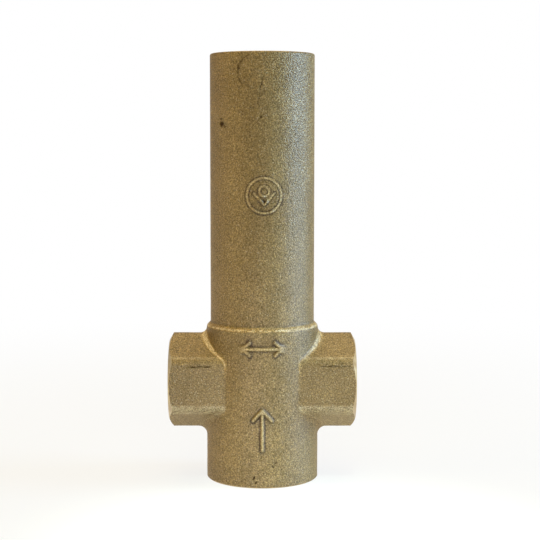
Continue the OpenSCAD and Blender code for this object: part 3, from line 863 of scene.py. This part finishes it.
def turned_metal(name, axis, dark, light, rough=0.28):
    """Turned metal with fine tool marks round an axis."""
    material, g, shader = new_material(name)
    place = g.place()
    parts = g.split(place)
    across = [parts[a] for a in "XYZ" if a != axis]
    if axis == "X":
        across[1] = g.math("SUBTRACT", across[1], PORT_Z * MM)
    squares = [g.math("MULTIPLY", a, a) for a in across]
    radius = g.math("SQRT", g.math("ADD", *squares))
    along = g.math("ADD", radius, parts[axis])
    lines = g.add("TexNoise", {"W": along, "Scale": 6000.0, "Detail": 2.0}, noise_dimensions="1D")
    cloud = g.noise(place, 250.0, 3.0, 0.6)
    g.put(shader, {
        "Base Color": g.ramp(cloud, (0.3, dark), (0.7, light)),
        "Metallic": 1.0,
        "Roughness": g.ramp(cloud, (0.3, rough), (0.7, rough + 0.12)),
        "Normal": g.bump(lines.outputs["Fac"], 0.25, 0.04 * MM),
    })
    return material


def dull_material(name, dark, light, scale, rough, metallic, bump):
    """A plain surface with fine colour changes and a slight texture."""
    material, g, shader = new_material(name)
    fine = g.noise(g.place(), scale, 3.0, 0.6)
    g.put(shader, {
        "Base Color": g.ramp(fine, (0.3, dark), (0.7, light)),
        "Metallic": metallic,
        "Roughness": g.ramp(fine, (0.3, rough - 0.06), (0.7, rough + 0.06)),
        "Normal": g.bump(fine, bump, 0.1 * MM),
    })
    return material


FORGED_SKIN = forged_brass()
BRASS_Z = turned_metal("turned_brass_z", "Z", linear(160, 134, 82), linear(196, 172, 118), 0.3)
BRASS_X = turned_metal("turned_brass_x", "X", linear(174, 147, 98), linear(214, 192, 146))
STEEL_Z = turned_metal("ground_stainless", "Z", linear(160, 162, 166), linear(196, 198, 202), 0.22)
ZINC = dull_material("zinc_plate", linear(170, 170, 160), linear(204, 202, 190), 700.0, 0.34, 0.9, 0.15)
SPRING_STEEL = dull_material(
    "phosphated_steel", linear(46, 47, 50), linear(72, 73, 78), 900.0, 0.5, 0.6, 0.25
)
RUBBER = dull_material("seal_rubber", linear(22, 22, 23), linear(38, 38, 40), 1200.0, 0.6, 0.0, 0.2)
PTFE = dull_material("ptfe", linear(216, 213, 204), linear(236, 234, 228), 400.0, 0.45, 0.0, 0.1)


# Pieces in place of the plain solids

def stands_for(piece, node):
    """Makes a piece ride with the body of a node of the CAD model, in place of the node, which is hidden.
    """
    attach(piece, BODIES[node])
    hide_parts(node)


def softened(node, finish, bevel):
    """The node's own shape, with its sharp edges broken and its round faces smooth."""
    worker = bmesh.new()
    worker.from_mesh(NODES[node].data)
    bmesh.ops.remove_doubles(worker, verts=worker.verts, dist=1e-6)
    bmesh.ops.dissolve_limit(
        worker, angle_limit=math.radians(0.5), verts=worker.verts, edges=worker.edges
    )
    if bevel:
        sharp = [e for e in worker.edges if e.is_manifold and e.calc_face_angle() > math.radians(30)]
        bmesh.ops.bevel(
            worker, geom=sharp, offset=bevel * MM, offset_type="OFFSET", segments=2, profile=0.5,
            affect="EDGES", clamp_overlap=True,
        )
    bmesh.ops.triangulate(worker, faces=[f for f in worker.faces if len(f.verts) > 4])
    mesh = bpy.data.meshes.new(node + "_piece")
    worker.to_mesh(mesh)
    worker.free()
    mesh.materials.append(finish)
    piece = bpy.data.objects.new(node + "_piece", mesh)
    bpy.context.scene.collection.objects.link(piece)
    smooth(piece, 32.0)
    stands_for(piece, node)


def hexagon(across, low, high):
    """Points and faces of a hexagonal prism about Z with corners on the X axis."""
    reach = across / 2 / math.cos(math.pi / 6)
    ring = [(reach * math.cos(i * math.pi / 3), reach * math.sin(i * math.pi / 3)) for i in range(6)]
    points = [(x, y, low) for x, y in ring] + [(x, y, high) for x, y in ring]
    faces = [list(range(6)), list(range(6, 12))]
    faces += [[i, (i + 1) % 6, 6 + (i + 1) % 6, 6 + i] for i in range(6)]
    return points, faces


def block(low, high):
    """Points and faces of a box between two corners."""
    xs, ys, zs = zip(low, high)
    points = [(x, y, z) for x in xs for y in ys for z in zs]
    faces = [[0, 1, 3, 2], [4, 5, 7, 6], [0, 1, 5, 4], [2, 3, 7, 6], [0, 2, 6, 4], [1, 3, 7, 5]]
    return points, faces


SCREW_PLAY = 0.1


def threaded_plug(name, low, high, bevel):
    """A plug with the adjusting thread, in phase with the thread of the tube, and with bevelled ends."""
    turns = math.floor((low - ADJUST_START) / ADJUST_PITCH) - 2
    start = ADJUST_START + turns * ADJUST_PITCH
    radius = ADJUST_R - SCREW_PLAY
    rod = threaded_rod(radius, ADJUST_DEPTH, ADJUST_PITCH, start, high + 5)
    plug = make_object(name, *rod, [BRASS_Z])
    inner = radius - ADJUST_DEPTH - 0.1
    corner = 0.15
    profile = [
        (0, low), (inner - corner, low), (inner, low + corner), (radius, low + bevel),
        (radius, high - bevel), (inner, high - corner), (inner - corner, high), (0, high),
    ]
    return cut(plug, *lathe(profile, 120), 0, "INTERSECT")


def make_screw():
    """Adjusting screw: key socket above, cup for the ball below."""
    low, high = [corner.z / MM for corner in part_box("adjusting_screw")]
    ball_low, ball_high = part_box("thrust_ball")
    key, key_depth = 14.0, 8.0
    end_bevel, mouth_bevel, ball_play = 1.0, 0.35, 0.03
    screw = threaded_plug("adjusting_screw_piece", low, high, end_bevel)
    cut(screw, *hexagon(key, high - key_depth, high + 1), 0)
    mouth = key / 2 / math.cos(math.pi / 6) + mouth_bevel
    cone = [(0, high - 1), (mouth - 1, high - 1), (mouth + 1, high + 1), (0, high + 1)]
    cut(screw, *lathe(cone), 0)
    middle = (ball_low.z + ball_high.z) / 2 / MM
    cup = ball_high.x / MM + ball_play
    arc = [math.radians(a) for a in range(-84, 85, 6)]
    dome = [(0, middle - cup)]
    dome += [(cup * math.cos(a), middle + cup * math.sin(a)) for a in arc]
    dome += [(0, middle + cup)]
    cut(screw, *lathe(dome), 0)
    stands_for(smooth(screw), "adjusting_screw")


def make_lock_nut():
    """Ring nut with a chamfered hole and four spanner slots."""
    low, high = [corner.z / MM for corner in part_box("lock_nut")]
    hole, slot_w, slot_h = 9.25, 4.0, 2.5
    end_bevel, hole_bevel, slot_bevel = 0.8, 0.5, 0.25
    nut = threaded_plug("lock_nut_piece", low, high, end_bevel)
    wide = hole + hole_bevel + 1
    profile = [
        (0, low - 1), (wide, low - 1), (hole, low + hole_bevel),
        (hole, high - hole_bevel), (wide, high + 1), (0, high + 1),
    ]
    cut(nut, *lathe(profile), 0)
    reach = ADJUST_R + 1
    slots = [(slot_w / 2, high - slot_h), (slot_w / 2 + slot_bevel, high - slot_bevel)]
    for along_x in (True, False):
        for half, bottom in slots:
            x, y = (reach, half) if along_x else (half, reach)
            cut(nut, *block((-x, -y, bottom), (x, y, high + 1)), 0)
    stands_for(smooth(nut), "lock_nut")


def make_spring():
    """Round wire in a helix: a lower half over the valve, and an upper half under the adjuster."""
    low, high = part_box("main_spring")
    bottom, top, outer = low.z / MM, high.z / MM, high.x / MM
    wire, coils, closed = 5.0, 6.5, 5.5
    end_bevel = 0.4
    middle = outer - wire / 2
    opened = (top - bottom - wire - 2 * closed) / (coils - 2)
    steps, sides = 48, 20
    turn = np.arange(round(coils * steps) + 1) / steps
    free = ramp(turn, 0.75, 1.25) * (1 - ramp(turn, coils - 1.25, coils - 0.75))
    pitch = closed + (opened - closed) * free
    rise = np.concatenate([[0], np.cumsum((pitch[1:] + pitch[:-1]) / 2 / steps)])
    height = bottom + wire / 2 + rise * (top - bottom - wire) / rise[-1]
    around = 2 * np.pi * np.arange(sides) / sides
    last = len(turn) - 1
    split = len(turn) // 2
    halves = (
        ("lower_spring_half", range(0, split + 1), "valve_lift", bottom),
        ("upper_spring_half", range(split, last + 1), "adjuster_travel", top),
    )
    for name, part, joint, end in halves:
        points, faces = [], []
        for i in part:
            wire_r = wire / 2 - (end_bevel if i in (0, last) else 0)
            radius = middle + wire_r * np.cos(around)
            angle = 2 * np.pi * turn[i]
            lift = height[i] + wire_r * np.sin(around)
            points += np.column_stack([radius * math.cos(angle), radius * math.sin(angle), lift]).tolist()
        count = len(part)
        for i in range(count - 1):
            for k in range(sides):
                m = (k + 1) % sides
                faces.append([i * sides + k, i * sides + m, (i + 1) * sides + m, (i + 1) * sides + k])
        faces.append(list(range(sides)))
        faces.append(list(range((count - 1) * sides, count * sides)))
        half = smooth(make_object(name, points, faces, [SPRING_STEEL]), 50.0)
        stands_for(half, "main_spring")
        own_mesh(half)


body = make_skin([FORGED_SKIN, BRASS_Z, BRASS_X])
rough_up(body)
bore_body(body)
paint_wear_and_light(body)
stands_for(smooth(body), "body")
make_screw()
make_lock_nut()
make_spring()

# The other pieces keep their shapes: finish, width of the broken edges and nodes
EDGE_BREAK = 0.15
SIMPLE_PIECES = [
    (BRASS_Z, EDGE_BREAK, ["seat_retainer", "stem_guide"]),
    (STEEL_Z, EDGE_BREAK, ["valve_seat", "poppet", "stem"]),
    (ZINC, EDGE_BREAK, ["poppet_pin", "lift_stop_ring", "lower_spring_plate"]),
    (ZINC, EDGE_BREAK, ["upper_spring_plate", "lock_washer"]),
    (PTFE, EDGE_BREAK, ["seat_backup_ring", "stem_backup_ring", "stem_wiper"]),
    (RUBBER, 0, ["seat_o_ring", "guide_o_ring", "stem_o_ring"]),
    (STEEL_Z, 0, ["thrust_ball"]),
]
for finish, bevel, names in SIMPLE_PIECES:
    for name in names:
        softened(name, finish, bevel)


# Floor, light and background

FLOOR_Z = -0.05
FLOOR_R = 8000.0


def white_where_seen(g, plain, white, seen_share, mirrored_share):
    """White in its shares for camera rays, through glass and in reflections, and plain for other rays."""
    rays = g.add("LightPath", {}).outputs
    seen = g.math("MAXIMUM", rays["Is Camera Ray"], rays["Is Transmission Ray"])
    seen = g.math("MULTIPLY", seen, seen_share)
    mirrored = g.math("MULTIPLY", rays["Is Glossy Ray"], mirrored_share)
    share = g.math("MAXIMUM", seen, mirrored)
    return g.add("MixShader", {"Fac": share, 1: plain, 2: white}).outputs[0]


def make_world():
    """A white background over a dim warm room, darker in reflections from the front and the left."""
    world = bpy.data.worlds.new("studio")
    bpy.context.scene.world = world
    world.use_nodes = True
    g = Graph(world.node_tree)
    g.nodes.clear()
    backdrop = g.add("Background", {"Color": grey(1.0)}).outputs[0]
    room = g.add("Background", {"Color": (1.0, 0.88, 0.66, 1.0), "Strength": 0.05}).outputs[0]
    way = g.split(g.add("TexCoord", {}).outputs["Generated"])
    front_dim = g.fade(way["Y"], -0.6, 0.4, 0.3, 1.0, "SMOOTHSTEP")
    left_dim = g.fade(way["X"], -0.8, 0.2, 0.45, 1.0, "SMOOTHSTEP")
    mirrored = g.math("MULTIPLY", front_dim, left_dim)
    g.add("OutputWorld", {"Surface": white_where_seen(g, room, backdrop, 1.0, mirrored)})


def make_floor():
    """A pale floor that keeps the valve's shadow and fades to white further out."""
    material, g, shader = new_material("floor")
    g.put(shader, {"Base Color": grey(0.9), "Roughness": 0.9})
    glow = g.add("Emission", {"Color": grey(1.0)}).outputs[0]
    place = g.place()
    far = g.vector_math("LENGTH", place)["Value"]
    seen = g.fade(far, 0.06, 0.45, 0.8, 1.0, "SMOOTHSTEP")
    mirrored = g.fade(g.split(place)["Y"], -0.6, -0.15, 0.5, 1.0, "SMOOTHSTEP")
    output = next(n for n in g.nodes if n.type == "OUTPUT_MATERIAL")
    g.put(output, {"Surface": white_where_seen(g, shader.outputs[0], glow, seen, mirrored)})
    floor = make_object("floor", *lathe([(0, FLOOR_Z), (FLOOR_R, FLOOR_Z)], 64), [material])


def add_lamp(data, place, target, power, colour):
    """Puts a lamp in a place, facing a target."""
    data.energy = power
    data.color = colour
    lamp = bpy.data.objects.new(data.name, data)
    lamp.location = place
    lamp.rotation_euler = (Vector(place) - Vector(target)).to_track_quat("Z", "Y").to_euler()
    bpy.context.scene.collection.objects.link(lamp)


def area_light(name, place, target, size, power, colour):
    """A soft rectangular lamp."""
    data = bpy.data.lights.new(name, "AREA")
    data.shape = "RECTANGLE"
    data.size, data.size_y = size
    add_lamp(data, place, target, power, colour)


def spot_light(name, place, target, width, power, colour):
    """A round lamp whose soft-edged cone has a given width in degrees."""
    data = bpy.data.lights.new(name, "SPOT")
    data.spot_size = math.radians(width)
    data.spot_blend = 1.0
    data.shadow_soft_size = 0.04
    add_lamp(data, place, target, power, colour)


make_world()
make_floor()
area_light("right_window", (0.9, -0.03, 0.22), (0, 0, 0.08), (0.36, 0.9), 15.1, (0.34, 0.61, 1.0))
area_light("top_softbox", (0.0, 0.25, 0.95), (0, 0, 0.04), (0.8, 0.8), 5.8, (1.0, 0.77, 0.34))
area_light("front_softbox", (0.0, -0.6, 0.75), (0, 0, 0.06), (0.6, 0.4), 2.4, (1.0, 0.98, 0.58))
area_light("left_lamp", (-0.88, -0.22, 0.18), (0, 0, 0.06), (0.4, 0.9), 3.0, (1.0, 0.64, 0.16))
spot_light("front_lamp", (-0.15, -0.7, 0.02), (0, 0, 0.012), 11.0, 5.6, (1.0, 0.96, 1.0))
spot_light("right_fill", (0.64, -0.3, 0.02), (0.01, 0, 0.02), 14.0, 4.7, (0.66, 0.72, 1.0))
spot_light("table_lamp", (0.02, -0.35, 0.6), (0.015, -0.1, 0), 14.0, 85.0, (0.82, 1.0, 0.8))

bpy.context.scene.view_settings.view_transform = "Standard"
